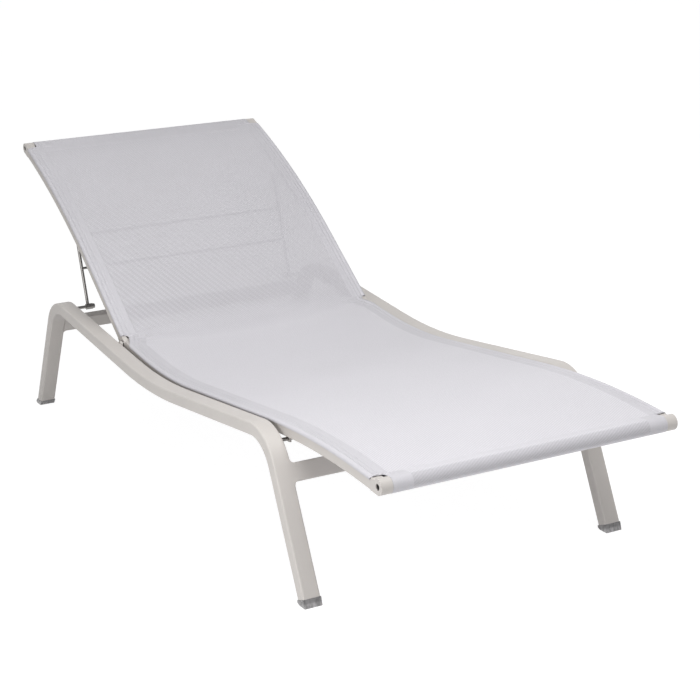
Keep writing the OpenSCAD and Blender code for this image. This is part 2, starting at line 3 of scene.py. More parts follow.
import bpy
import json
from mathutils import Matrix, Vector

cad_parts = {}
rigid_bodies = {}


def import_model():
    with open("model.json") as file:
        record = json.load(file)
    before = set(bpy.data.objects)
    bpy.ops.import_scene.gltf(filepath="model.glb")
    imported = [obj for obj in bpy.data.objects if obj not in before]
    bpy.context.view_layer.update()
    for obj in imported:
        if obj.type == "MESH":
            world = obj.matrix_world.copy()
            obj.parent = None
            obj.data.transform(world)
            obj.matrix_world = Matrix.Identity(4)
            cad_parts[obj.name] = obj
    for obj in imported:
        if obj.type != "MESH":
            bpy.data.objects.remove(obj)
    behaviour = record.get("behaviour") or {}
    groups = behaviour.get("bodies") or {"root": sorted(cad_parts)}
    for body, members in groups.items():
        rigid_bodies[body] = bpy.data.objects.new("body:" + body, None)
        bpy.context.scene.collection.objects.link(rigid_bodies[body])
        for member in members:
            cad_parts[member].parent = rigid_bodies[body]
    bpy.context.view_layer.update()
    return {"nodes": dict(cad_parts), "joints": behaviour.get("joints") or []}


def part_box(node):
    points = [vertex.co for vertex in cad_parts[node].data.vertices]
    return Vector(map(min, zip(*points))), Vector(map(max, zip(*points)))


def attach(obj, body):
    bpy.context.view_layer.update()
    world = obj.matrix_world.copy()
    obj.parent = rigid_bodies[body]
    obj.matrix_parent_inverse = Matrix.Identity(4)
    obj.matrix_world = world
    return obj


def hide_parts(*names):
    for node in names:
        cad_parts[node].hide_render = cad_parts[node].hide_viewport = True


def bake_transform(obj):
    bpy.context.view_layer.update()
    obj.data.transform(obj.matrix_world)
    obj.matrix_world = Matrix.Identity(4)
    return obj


bl_info = {
    "name": "Sun Lounger",
    "version": (1, 0, 0),
    "blender": (4, 5, 0),
    "location": "View3D > Sidebar > Lounger",
    "description": "Dresses the packed lounger frame with its sling, seams, welds and finishes",
    "category": "Object",
}

import json
import math

import bmesh
import bpy
import numpy as np
from bpy.props import FloatProperty, FloatVectorProperty, PointerProperty
from mathutils import Matrix, Vector

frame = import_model()
NODES = frame["nodes"]
HINGE = next(j for j in frame["joints"] if j["name"] == "back_hinge")["pos_m"]

# The rails' bent centrelines seen from the side, measured from the hinge along the ground and
# from the floor, and the radii of their bends
SEAT_CORNERS = [(0.0, 0.287), (0.2628, 0.2571), (0.994, 0.3288), (1.23993, 0.309013)]
SEAT_RADII = [1.3, 2.1]
BACK_CORNERS = [(-0.626703, 0.674198), (-0.385152, 0.57513), (0.0, 0.287)]
BACK_RADII = [1.84]
# How far a corner casting reaches along a rail, and the air between the cloth and the metal
CORNER_CASTING = 0.026
CLEAR = 0.0003

# The cloth's turns at its ends: the radius round the foot tube, how far the turned hem lies under
# the cloth, and between which distances from the end of the rails' lines it lies
FOOT_WRAP = 0.0161
HEM_UNDER = 0.0014
HEAD_TAIL = (0.074, 0.052)
FOOT_TAIL = (0.056, 0.08)
# The cuts beside the corner castings: their air, and the length over which the cloth widens again
CUT_AIR = 0.002
CUT_SLOPE = 0.005
# Exponents of the hinge notch's outline up the backrest and along the seat, and of the fold's
# rounding from the middle of the cloth to its edges
NOTCH_BACK_CURVE = (2.4, 0.45)
NOTCH_SEAT_CURVE = 0.8
FOLD_CURVE = 2.2
# How far each way the cloth's line is rounded away from the fold, the extra length beside the
# fold that is rounded as the fold is, and half the step over which its direction is taken
ROUNDING = 0.005
FOLD_MARGIN = 0.004
HALF_STEP = 0.0005

# Distances from the cloth's edge of its cord bead and of its two seams
BEAD = 0.0098
SEAMS = (0.0148, 0.0248)
# Height and half width of the bead, of a seam's groove and of the low ridge inside it, how far
# inside the groove that ridge lies, and the doubled hem's height and half the width of its step
BEAD_RELIEF = (0.0013, 0.0044)
GROOVE_RELIEF = (0.00045, 0.0018)
RIDGE_RELIEF = (0.00022, 0.002)
RIDGE_INSIDE = 0.0032
HEM_RELIEF = (0.00045, 0.0012)
# The creases that fan out beside a hinge notch: where they start along the seat, their height,
# how many of them in a turn, how that fan is turned, and how far they reach
CREASE_START = 0.012
CREASE_HEIGHT = 0.0008
CREASE_COUNT = 10
CREASE_TURN = 0.6
CREASE_REACH = 0.06
# The lip beside a notch: its middle along the seat, and its reach along and across the cloth
LIP_MIDDLE = 0.024
LIP_REACH = (0.02, 0.017)

# Wales of the weave and ribs of painted shade, in waves a metre, across the cloth and along it
WALES = (110, 170)
RIBS = (66, -35)
# Width of the doubled cloth at the head end, and half the width of the line where it ends
HEAD_HEM = 0.05
HEM_BLUR = 0.0008
# How open the middle of a gap between the yarns is, what a yarn itself lets through, and how far
# from face on the cloth is seen where its gaps begin to close and where they are closed
OPENNESS = 0.5
HAZE = 0.15
SLANT = (0.35, 0.6)
# Painted shade, as factors on the cloth's colour: on the doubled cloth, which has no gaps and lets
# less light through, in a rib's valley and in a seam's groove; and the colour of the painted shadow
# in the rail's slot, where the cloth is tucked in
DOUBLED_PAINTED_SHADE = 0.77
RIB_SHADE = 0.76
SEAM_SHADE = 0.66
SLOT_SHADOW_COLOUR = (0.2, 0.18, 0.155)

# How far from the end tubes the edge seams start and stop, the two stitched rows of the head hem
# measured back from its end, half their length, and a place inside the cloth away from its edges
SEAM_ENDS = 0.035
HEM_ROWS = (0.008, 0.002)
HEM_ROW_HALF = 0.27
INSIDE = 0.1
# A stitch: its half length as a share of the stitch length, its half width and half height, and
# how far its middle lies above the cloth
STITCH_SHARE = 0.36
STITCH_HALF = (0.00038, 0.00032)
STITCH_LIFT = 0.00015

# Steps round a weld fillet, its first thickness, how much it swells past the bar's own faces, and
# the angle up to which its faces are shaded as one
FILLET_STEPS = 7
FILLET_START = 0.001
FILLET_SWELL = 1.003
FILLET_SMOOTH = math.radians(40)

# Steel parts, besides the prop's, whose grain runs across the lounger
STEEL_ACROSS = (
    "tie_rod",
    "hinge_tube",
    "hinge_pins",
    "hinge_washers",
    "rack_rivets",
    "stub_caps",
)
# Height of the glides' tops above the floor, where the painted shade on them is darkest
GLIDE_TOP = {"front": 0.018, "rear": 0.013}

# The camera: its place, its sideways and viewing directions, and its sensor in millimetres
CAMERA_PLACE = (3.5553, -1.7809, 1.4375)
CAMERA_RIGHT = (0.4786, 0.8775, -0.0306)
CAMERA_FORWARD = (-0.8474, 0.4525, -0.2779)
SENSOR = 36
# The floor: its size, the strength of its own light where the camera sees it, and its share
FLOOR_SIZE = 60
FLOOR_GLOW = 1.27
FLOOR_SHARE = 0.72


# Settings


class LoungerSling(bpy.types.PropertyGroup):
    """Sizes of the sewn sling."""

    thickness: FloatProperty(
        name="Cloth thickness",
        description="Thickness of one layer of the coated mesh",
        default=0.0011,
        unit="LENGTH",
    )
    level: FloatProperty(
        name="Cloth level",
        description="Middle of the cloth above the rail centreline",
        default=0.0136,
        unit="LENGTH",
    )
    edge_radius: FloatProperty(
        name="Edge turn",
        description="Radius of the cloth's turn over the outer corner of a rail",
        default=0.0033,
        unit="LENGTH",
    )
    edge_drop: FloatProperty(
        name="Edge drop",
        description="Straight stretch of cloth down the side of a rail, past the turn",
        default=0.0024,
        unit="LENGTH",
    )
    bridge_edge: FloatProperty(
        name="Fold length at the rails",
        description="How far each way from the hinge the cloth rounds the fold, at its edges",
        default=0.009,
        unit="LENGTH",
    )
    bridge_middle: FloatProperty(
        name="Fold length in the middle",
        description="How far each way from the hinge the taut cloth rounds the fold, midway",
        default=0.095,
        unit="LENGTH",
    )
    notch_back: FloatProperty(
        name="Notch up the backrest",
        description="Length of the hinge notch along the backrest edge",
        default=0.0115,
        unit="LENGTH",
    )
    notch_seat: FloatProperty(
        name="Notch along the seat",
        description="Length of the hinge notch along the seat edge",
        default=0.05,
        unit="LENGTH",
    )
    notch_depth: FloatProperty(
        name="Notch depth",
        description="Depth of the hinge notch from the cloth edge",
        default=0.0195,
        unit="LENGTH",
    )
    notch_lift: FloatProperty(
        name="Lip lift",
        description="How far the taut cloth stands up beside the hinge notch",
        default=0.003,
        unit="LENGTH",
    )
    hem: FloatProperty(
        name="Hem width",
        description="Width of the doubled cloth along the edges",
        default=0.042,
        unit="LENGTH",
    )
    thread_pitch: FloatProperty(
        name="Thread pitch",
        description="Distance between two yarns of the weave",
        default=0.0016,
        unit="LENGTH",
    )
    stitch: FloatProperty(
        name="Stitch length",
        description="Distance from one stitch to the next along a seam",
        default=0.0042,
        unit="LENGTH",
    )


class LoungerWeld(bpy.types.PropertyGroup):
    """Sizes of the weld fillets on the crossbars."""

    front_radius: FloatProperty(
        name="Front fillet radius",
        description="Radius of the ground fillet round the front crossbar's ends",
        default=0.007,
        unit="LENGTH",
    )
    rear_radius: FloatProperty(
        name="Rear fillet radius",
        description="Radius of the small fillet round the rear crossbar's ends",
        default=0.003,
        unit="LENGTH",
    )
    sink: FloatProperty(
        name="Sink",
        description="How far the front fillets run into the rounded corners of the legs",
        default=0.0042,
        unit="LENGTH",
    )
    bar_width: FloatProperty(
        name="Crossbar width",
        description="Width of a crossbar, measured along the leg",
        default=0.038,
        unit="LENGTH",
    )
    bar_thickness: FloatProperty(
        name="Crossbar thickness",
        description="Thickness of a crossbar, square to the leg",
        default=0.02,
        unit="LENGTH",
    )
    front_lean: FloatProperty(
        name="Front leg lean",
        description="Angle of the front legs from upright",
        default=math.radians(23.99),
        subtype="ANGLE",
    )
    rear_lean: FloatProperty(
        name="Rear leg lean",
        description="Angle of the rear legs from upright",
        default=math.radians(28.99),
        subtype="ANGLE",
    )


class LoungerFinish(bpy.types.PropertyGroup):
    """Colours of the lounger."""

    paint: FloatVectorProperty(
        name="Powder coat",
        description="Colour of the coated aluminium frame",
        subtype="COLOR",
        size=3,
        default=(0.56, 0.53, 0.505),
        min=0,
        max=1,
    )
    cloth: FloatVectorProperty(
        name="Sling cloth",
        description="Colour of the coated mesh cloth",
        subtype="COLOR",
        size=3,
        default=(0.715, 0.701, 0.74),
        min=0,
        max=1,
    )
    steel: FloatVectorProperty(
        name="Stainless steel",
        description="Colour of the prop, bolts and pins",
        subtype="COLOR",
        size=3,
        default=(0.25, 0.24, 0.23),
        min=0,
        max=1,
    )
    glide: FloatVectorProperty(
        name="Glides",
        description="Colour of the smoky glides under the legs",
        subtype="COLOR",
        size=3,
        default=(0.42, 0.41, 0.415),
        min=0,
        max=1,
    )


class LoungerStage(bpy.types.PropertyGroup):
    """Lights and lens of the studio."""

    key_power: FloatProperty(
        name="Overhead light",
        description="Power of the large soft light above the lounger",
        default=55,
        unit="POWER",
        min=0,
    )
    front_power: FloatProperty(
        name="Front light",
        description="Power of the soft light at the foot end",
        default=5,
        unit="POWER",
        min=0,
    )
    side_power: FloatProperty(
        name="Side light",
        description="Power of the soft light beside the near front leg",
        default=13.5,
        unit="POWER",
        min=0,
    )
    ambient: FloatProperty(
        name="Room light",
        description="Strength of the even light of the white room",
        default=0.35,
        min=0,
    )
    lens: FloatProperty(
        name="Lens",
        description="Focal length of the camera",
        default=91.4,
        subtype="DISTANCE_CAMERA",
    )


# Node helpers


class Tree:
    """A material's node tree, built by short calls."""

    def __init__(self, name):
        self.material = bpy.data.materials.new(name)
        self.material.use_nodes = True
        self.nodes = self.material.node_tree.nodes
        self.links = self.material.node_tree.links
        self.shader = self.nodes["Principled BSDF"]

    def add(self, kind, **settings):
        node = self.nodes.new(kind)
        for key, value in settings.items():
            setattr(node, key, value)
        return node

    def plug(self, value, socket):
        if isinstance(value, bpy.types.NodeSocket):
            self.links.new(value, socket)
        else:
            socket.default_value = value

    def math(self, operation, a, b=None):
        node = self.add("ShaderNodeMath", operation=operation)
        self.plug(a, node.inputs[0])
        if b is not None:
            self.plug(b, node.inputs[1])
        return node.outputs[0]

    def noise(self, vector, scale, detail=2.0, roughness=0.5):
        node = self.add("ShaderNodeTexNoise")
        self.plug(vector, node.inputs["Vector"])
        node.inputs["Scale"].default_value = scale
        node.inputs["Detail"].default_value = detail
        node.inputs["Roughness"].default_value = roughness
        return node.outputs["Fac"]

    def span(self, value, low, high, to_low, to_high):
        node = self.add("ShaderNodeMapRange", clamp=True)
        for socket, x in zip(node.inputs, (value, low, high, to_low, to_high)):
            self.plug(x, socket)
        return node.outputs[0]

    def mix(self, share, a, b):
        node = self.add("ShaderNodeMix", data_type="RGBA")
        self.plug(share, node.inputs["Factor"])
        self.plug(a, node.inputs["A"])
        self.plug(b, node.inputs["B"])
        return node.outputs["Result"]

    def place(self):
        return self.add("ShaderNodeTexCoord").outputs["Object"]

    def scaled(self, vector, scale):
        node = self.add("ShaderNodeMapping")
        self.plug(vector, node.inputs["Vector"])
        node.inputs["Scale"].default_value = scale
        return node.outputs["Vector"]

    def bump(self, height, strength, distance):
        node = self.add("ShaderNodeBump")
        node.inputs["Strength"].default_value = strength
        node.inputs["Distance"].default_value = distance
        self.plug(height, node.inputs["Height"])
        return node.outputs["Normal"]

    def set(self, **values):
        for name, value in values.items():
            self.plug(value, self.shader.inputs[name.replace("_", " ")])
        return self.material


def shade(colour, factor):
    """A colour made lighter or darker, with its alpha."""
    return (*(min(1.0, c * factor) for c in colour), 1.0)


# Finishes


def powder_coat(colour):
    """Fine matt powder coat: orange peel, faint cloudiness and a little handling sheen."""
    t = Tree("powder_coat")
    place = t.place()
    cloud = t.noise(place, 5.5, 3)
    speck = t.noise(place, 850, 2)
    tone = t.mix(t.span(cloud, 0.35, 0.65, 0, 1), shade(colour, 0.975), shade(colour, 1.025))
    tone = t.mix(t.span(speck, 0.62, 0.78, 0, 0.22), tone, shade(colour, 0.9))
    peel = t.noise(place, 620, 3, 0.55)
    normal = t.bump(peel, 0.16, 0.00022)
    rough = t.span(t.noise(place, 38, 3), 0.3, 0.7, 0.41, 0.5)
    return t.set(Base_Color=tone, Roughness=rough, Normal=normal, Specular_IOR_Level=0.45)


def stainless(name, colour, stretch):
    """Ground stainless bar: fine lines along the bar, given by a stretched noise."""
    t = Tree(name)
    place = t.place()
    lines = t.noise(t.scaled(place, stretch), 260, 3, 0.6)
    tone = t.mix(t.span(lines, 0.3, 0.7, 0, 1), shade(colour, 0.86), shade(colour, 1.14))
    rough = t.span(lines, 0.25, 0.75, 0.17, 0.34)
    normal = t.bump(lines, 0.12, 0.0001)
    return t.set(Base_Color=tone, Metallic=1.0, Roughness=rough, Normal=normal)


def smoky_plastic(name, colour, top):
    """Smoky see-through plastic with painted shade, lighter by the floor and darker up by the leg,
    and streaks from the ribs inside.
    """
    t = Tree(name)
    place = t.place()
    height = t.add("ShaderNodeSeparateXYZ")
    t.plug(place, height.inputs[0])
    # Painted shade: the glide is lighter by the floor and darker up at its top by the leg
    painted_shade_up = t.span(height.outputs["Z"], 0.0, top, 0, 1)
    swirl = t.span(t.noise(t.scaled(place, (1, 1, 0.3)), 130, 2), 0.38, 0.62, 0, 1)
    body = t.mix(painted_shade_up, shade(colour, 1.2), shade(colour, 0.6))
    body = t.mix(t.math("MULTIPLY", swirl, 0.7), body, shade(colour, 0.35))
    normal = t.bump(t.noise(place, 420, 2), 0.08, 0.0002)
    rough = t.span(t.noise(place, 60, 2), 0.3, 0.7, 0.16, 0.3)
    return t.set(
        Base_Color=body, Roughness=rough, Normal=normal, Transmission_Weight=0.3, IOR=1.49
    )


def sling_weave(name, colour, pitch, hem, line):
    """Coated mesh: open plain weave under diagonal wales, doubled and closed at the hems.

    The cloth's UV map is its flat cut in metres: U from the middle line, V along from the head hem.
    The attribute edge holds the distance from the cloth's edge."""
    t = Tree(name)
    flat = t.add("ShaderNodeUVMap", uv_map="flat").outputs["UV"]
    at = t.add("ShaderNodeSeparateXYZ")
    t.plug(flat, at.inputs[0])
    across, along = at.outputs["X"], at.outputs["Y"]

    def wave(per_metre_across, per_metre_along):
        phase = t.math(
            "ADD",
            t.math("MULTIPLY", across, 2 * math.pi * per_metre_across),
            t.math("MULTIPLY", along, 2 * math.pi * per_metre_along),
        )
        return t.math("SINE", phase)

    a = wave(0.5 / pitch, 0)
    b = wave(0, 0.5 / pitch)
    cross = t.math("MULTIPLY", a, b)
    flat_a, flat_b = t.math("ABSOLUTE", a), t.math("ABSOLUTE", b)
    warp = t.math("ADD", flat_a, cross)
    weft = t.math("SUBTRACT", flat_b, cross)
    yarn = t.math("MULTIPLY", t.math("MAXIMUM", warp, weft), 0.5)
    wale = t.span(wave(WALES[0], WALES[1]), -1, 1, 0, 1)
    rib = wave(RIBS[0], RIBS[1])
    up_back = t.math("SUBTRACT", line.fold, along)
    rib_start = t.span(up_back, 0.0, 0.05, 0, 1)
    rib_fade = t.math("MULTIPLY", rib_start, t.span(up_back, 0.1, 0.5, 1, 0.15))
    rib_fade = t.math("MULTIPLY", rib_fade, t.span(across, -0.3, 0.32, 1, 0.3))
    edge = t.add("ShaderNodeAttribute", attribute_name="edge").outputs["Fac"]
    web = t.math(
        "MULTIPLY",
        t.span(along, line.head_top + 0.02, line.head_top + 0.024, 0, 1),
        t.span(along, line.foot_top - 0.022, line.foot_top - 0.018, 1, 0),
    )
    head_hem = line.head_top + HEAD_HEM
    doubled = t.math(
        "MAXIMUM",
        t.span(edge, hem - HEM_BLUR, hem + HEM_BLUR, 1, 0),
        t.span(along, head_hem - HEM_BLUR, head_hem + HEM_BLUR, 1, 0),
    )
    tone = t.mix(t.span(yarn, 0.05, 0.7, 0, 1), shade(colour, 0.9), shade(colour, 1.03))
    tone = t.mix(wale, tone, shade(colour, 0.8))
    grain = t.noise(t.scaled(flat, (0.6, 1, 1)), 210, 2, 0.6)
    tone = t.mix(t.span(grain, 0.4, 0.7, 0, 0.75), tone, shade(colour, 0.86))
    # Painted highlight: the strip from the edge to just past the cord bead is made lighter, as a lit
    # round bead
    bead_highlight = t.math("MULTIPLY", t.span(edge, 0.0118, 0.0138, 0.6, 0), web)
    tone = t.mix(bead_highlight, tone, shade(colour, 1.12))
    # Painted shadow: the last millimetre of the cloth's edge, where it goes into the rail's slot, is
    # dark brown
    slot_shadow = t.math("MULTIPLY", t.span(edge, 0.0007, 0.0014, 1, 0), web)
    tone = t.mix(slot_shadow, tone, shade(SLOT_SHADOW_COLOUR, 1))
    # Painted shade on the doubled hems, which let less light through than the open cloth
    tone = t.mix(t.math("MULTIPLY", doubled, 0.9), tone, shade(colour, DOUBLED_PAINTED_SHADE))
    # Painted shade in the valleys of diagonal ribs, fading up the backrest from the fold and across
    # it
    rib_valley_shade = t.math("MULTIPLY", t.span(rib, -1, 1, 0, 1), rib_fade)
    tone = t.mix(rib_valley_shade, tone, shade(colour, RIB_SHADE))
    # Painted shade along each seam's groove, on top of the groove's own small relief
    for groove in SEAMS:
        off = t.math("ABSOLUTE", t.math("SUBTRACT", edge, groove))
        seam_groove_shade = t.math("MULTIPLY", t.span(off, 0.0005, 0.0015, 0.8, 0), web)
        tone = t.mix(seam_groove_shade, tone, shade(colour, SEAM_SHADE))
    slub = t.noise(t.scaled(flat, (1, 0.06, 1)), 420, 2)
    tone = t.mix(t.span(slub, 0.55, 0.75, 0, 0.25), tone, shade(colour, 0.94))
    wide = t.noise(flat, 3.2, 3)
    tone = t.mix(t.span(wide, 0.35, 0.65, 0, 0.3), tone, shade(colour, 0.96))
    height = t.math("ADD", yarn, t.math("MULTIPLY", wale, 0.6))
    normal = t.bump(height, 0.5, 0.0004)
    hole = t.math("MULTIPLY", t.math("SUBTRACT", 1, flat_a), t.math("SUBTRACT", 1, flat_b))
    hole = t.math("ADD", t.math("MULTIPLY", hole, OPENNESS), HAZE)
    slant = t.add("ShaderNodeLayerWeight").outputs["Facing"]
    hole = t.math("MULTIPLY", hole, t.span(slant, SLANT[0], SLANT[1], 1, 0))
    hole = t.math("MULTIPLY", hole, t.math("SUBTRACT", 1, doubled))
    return t.set(
        Base_Color=tone,
        Roughness=t.span(yarn, 0, 1, 0.62, 0.48),
        Normal=normal,
        Alpha=t.math("SUBTRACT", 1, hole),
        Sheen_Weight=0.12,
        Sheen_Roughness=0.4,
        Specular_IOR_Level=0.3,
    )


def sewing_thread(colour):
    """Twisted polyester thread."""
    t = Tree("sewing_thread")
    twist = t.noise(t.place(), 1800, 2)
    tone = t.mix(t.span(twist, 0.3, 0.7, 0, 1), shade(colour, 0.9), shade(colour, 1.05))
    return t.set(Base_Color=tone, Roughness=0.55, Normal=t.bump(twist, 0.3, 0.0001))


# Mesh helpers


def deselect():
    """Leaves edit mode with nothing selected."""
    if bpy.context.mode != "OBJECT":
        bpy.ops.object.mode_set(mode="OBJECT")
    for obj in bpy.data.objects:
        obj.select_set(False)
    bpy.context.view_layer.objects.active = None


def settle(obj):
    """Puts a finished piece's place into its mesh and leaves its object at the origin."""
    obj.data.transform(obj.matrix_world)
    obj.matrix_world = Matrix.Identity(4)
    return obj


def outward(obj):
    """Merges doubles and turns every face outward."""
    work = bmesh.new()
    work.from_mesh(obj.data)
    bmesh.ops.remove_doubles(work, verts=work.verts, dist=1e-6)
    bmesh.ops.recalc_face_normals(work, faces=work.faces)
    work.to_mesh(obj.data)
    work.free()


def finish_piece(obj, name, material):
    """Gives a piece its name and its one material."""
    obj.name = name
    obj.data.name = name
    obj.data.materials.clear()
    obj.data.materials.append(material)
    return obj


# The sling's line


def rail_line(corners, radii):
    """Points along a bent rail's centreline, close together round its bends."""
    corners = [np.array(c, float) for c in corners]
    out = [corners[0]]
    for i, radius in enumerate(radii):
        a, b, c = corners[i : i + 3]
        before = (b - a) / np.linalg.norm(b - a)
        after = (c - b) / np.linalg.norm(c - b)
        turn = math.atan2(before[0] * after[1] - before[1] * after[0], before @ after)
        cut = radius * math.tan(abs(turn) / 2)
        side = math.copysign(1, turn) * np.array([-before[1], before[0]])
        centre = b - before * cut + side * radius
        steps = 40
        for k in range(steps + 1):
            t = turn * k / steps
            turned = np.array(
                [
                    -side[0] * math.cos(t) + side[1] * math.sin(t),
                    -side[0] * math.sin(t) - side[1] * math.cos(t),
                ]
            )
            out.append(centre + turned * radius)
    out.append(corners[-1])
    return np.array(out)


def lifted(line, level):
    """A line moved square to itself, to the left of its direction."""
    step = np.diff(line, axis=0)
    step /= np.linalg.norm(step, axis=1)[:, None]
    along = np.vstack([step[:1], step[:-1] + step[1:], step[-1:]])
    along /= np.linalg.norm(along, axis=1)[:, None]
    return line + level * np.stack([-along[:, 1], along[:, 0]], axis=1)


def round_tube(axis, radius, start, sweep):
    """Points round an end tube, in degrees from start, clockwise where sweep is negative."""
    angles = np.radians(start + np.linspace(0, sweep, 48))
    return np.array(axis) + radius * np.stack([np.cos(angles), np.sin(angles)], axis=1)


def tangent_angle(point, axis, radius, sign):
    """Where the line from a point touches a circle, as an angle in degrees."""
    d = np.array(point) - np.array(axis)
    return math.degrees(math.atan2(d[1], d[0]) + sign * math.acos(radius / np.hypot(*d)))


class SlingLine:
    """The middle of the cloth seen from the side, from the head hem to the foot hem."""

    def __init__(self, sling):
        level = sling.level
        back = rail_line(BACK_CORNERS, BACK_RADII)
        seat = rail_line(SEAT_CORNERS, SEAT_RADII)
        head, tip = back[0], seat[-1]
        lo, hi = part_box("foot_tube")
        foot = np.array([(lo[0] + hi[0]) / 2 - HINGE[0], (lo[2] + hi[2]) / 2])
        under = level - HEM_UNDER
        along = (back[1] - head) / np.linalg.norm(back[1] - head)
        up = np.array([-along[1], along[0]])
        head_tail = [head + along * x + up * under for x in HEAD_TAIL]
        low = tangent_angle(head_tail[-1], head, level, -1)
        top = math.degrees(math.atan2(up[1], up[0]))
        head_wrap = round_tube(head, level, low, (top - low) % 360 - 360)
        fall = (tip - seat[-2]) / np.linalg.norm(tip - seat[-2])
        rise = np.array([-fall[1], fall[0]])
        foot_tail = [tip - fall * x + rise * under for x in FOOT_TAIL]
        last = tip - fall * CORNER_CASTING + rise * level
        high = tangent_angle(last, foot, FOOT_WRAP, -1)
        end = tangent_angle(foot_tail[0], foot, FOOT_WRAP, 1)
        foot_wrap = round_tube(foot, FOOT_WRAP, high, (end - high) % 360 - 360)
        back_top = lifted(back, level)[1:-1]
        seat_top = lifted(seat, level)[1:-1]
        fold = self.crossing(back_top[-1], back[-1] - back[-2], seat_top[0], seat[1] - seat[0])
        parts = [head_tail, head_wrap, back_top, [fold], seat_top, [last], foot_wrap, foot_tail]
        self.points = np.vstack([np.array(p).reshape(-1, 2) for p in parts])
        gaps = np.linalg.norm(np.diff(self.points, axis=0), axis=1)
        self.s = np.concatenate([[0], np.cumsum(gaps)])
        count = np.cumsum([len(p) for p in parts])
        self.head_top = self.s[count[1] - 1]
        self.fold = self.s[count[3] - 1]
        self.foot_top = self.s[count[5]]
        self.length = self.s[-1]

    @staticmethod
    def crossing(p, d, q, e):
        """Where the line through p along d meets the line through q along e."""
        t = np.linalg.solve(np.stack([d, -np.array(e)], axis=1), np.array(q) - np.array(p))
        return p + t[0] * np.array(d)

    def at(self, s):
        """The points at distances s along the line, which runs on straight past its ends."""
        s = np.asarray(s, float)
        x = np.interp(s, self.s, self.points[:, 0])
        z = np.interp(s, self.s, self.points[:, 1])
        for end, other in ((0, 1), (-1, -2)):
            d = self.points[end] - self.points[other]
            d /= np.linalg.norm(d)
            over = np.maximum(0, self.s[0] - s) if end == 0 else np.maximum(0, s - self.s[-1])
            x, z = x + over * d[0], z + over * d[1]
        return x, z

    def smooth(self, s, reach):
        """The line at s with its corners rounded: the mean of the line within reach each way."""
        shares = (np.arange(24) + 0.5) / 12 - 1
        x, z = self.at(s[..., None] + reach[..., None] * shares)
        return x.mean(-1), z.mean(-1)


def soft_step(x, low, high):
    """0 up to low, 1 from high on, and smooth between."""
    t = np.clip((x - low) / (high - low), 0, 1)
    return t * t * (3 - 2 * t)


def ridge(x, middle, half):
    """1 at the middle, falling smoothly to 0 at half the width each way."""
    t = np.clip(np.abs(x - middle) / half, 0, 1)
    return 0.5 + 0.5 * np.cos(np.pi * t)


